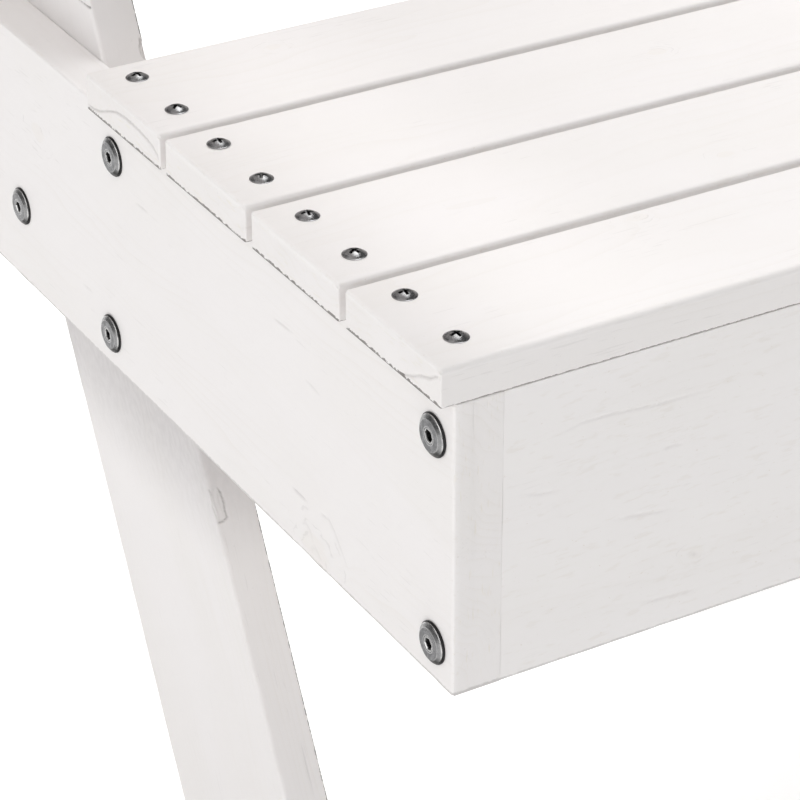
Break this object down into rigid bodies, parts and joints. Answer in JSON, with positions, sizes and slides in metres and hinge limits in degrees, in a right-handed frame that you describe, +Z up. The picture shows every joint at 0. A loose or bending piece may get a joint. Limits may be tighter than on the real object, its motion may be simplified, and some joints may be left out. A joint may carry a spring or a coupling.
{
  "type": "adirondack chair",
  "caption": "Low-armed wooden garden chair with a level slatted seat, a leaning fan back, flat arms and slanted board legs, bolted together.",
  "frame": {"origin": "on the floor, under the middle of the whole chair's box", "axes": "+X to the right seen from the front, +Y to the back, +Z up"},
  "size_m": [0.756, 0.8456, 0.9947],
  "materials": {
    "painted_pine": "thin satin white paint over sawn pine, with faint grain, knots and open cracks",
    "bolt_steel": "dull grey zinc, bright on the chamfer",
    "washer_steel": "dark grey steel",
    "zinc_steel": "plain zinc",
    "screw_steel": "grey zinc, polished by the driver"
  },
  "bodies": {
    "root": {"left_side_rail": "painted_pine", "right_side_rail": "painted_pine", "left_front_leg": "painted_pine", "right_front_leg": "painted_pine", "left_rear_leg": "painted_pine", "right_rear_leg": "painted_pine", "front_apron": "painted_pine", "rear_seat_batten": "painted_pine", "rear_apron": "painted_pine", "seat_slat_1": "painted_pine", "seat_slat_2": "painted_pine", "seat_slat_3": "painted_pine", "seat_slat_4": "painted_pine", "lower_back_rail": "painted_pine", "middle_back_rail": "painted_pine", "top_back_batten": "painted_pine", "back_slat_1": "painted_pine", "back_slat_2": "painted_pine", "back_slat_3": "painted_pine", "back_slat_4": "painted_pine", "back_slat_5": "painted_pine", "left_arm": "painted_pine", "right_arm": "painted_pine", "left_arm_brace": "painted_pine", "right_arm_brace": "painted_pine", "rail_end_bolts": "bolt_steel", "back_rail_bolts": "bolt_steel", "cross_dowels": "zinc_steel", "leg_bolts": "bolt_steel", "leg_bolt_nuts": "zinc_steel", "bolt_washers": "washer_steel", "seat_screws": "screw_steel", "back_screws": "screw_steel", "arm_screws": "screw_steel"}
  },
  "joints": []
}
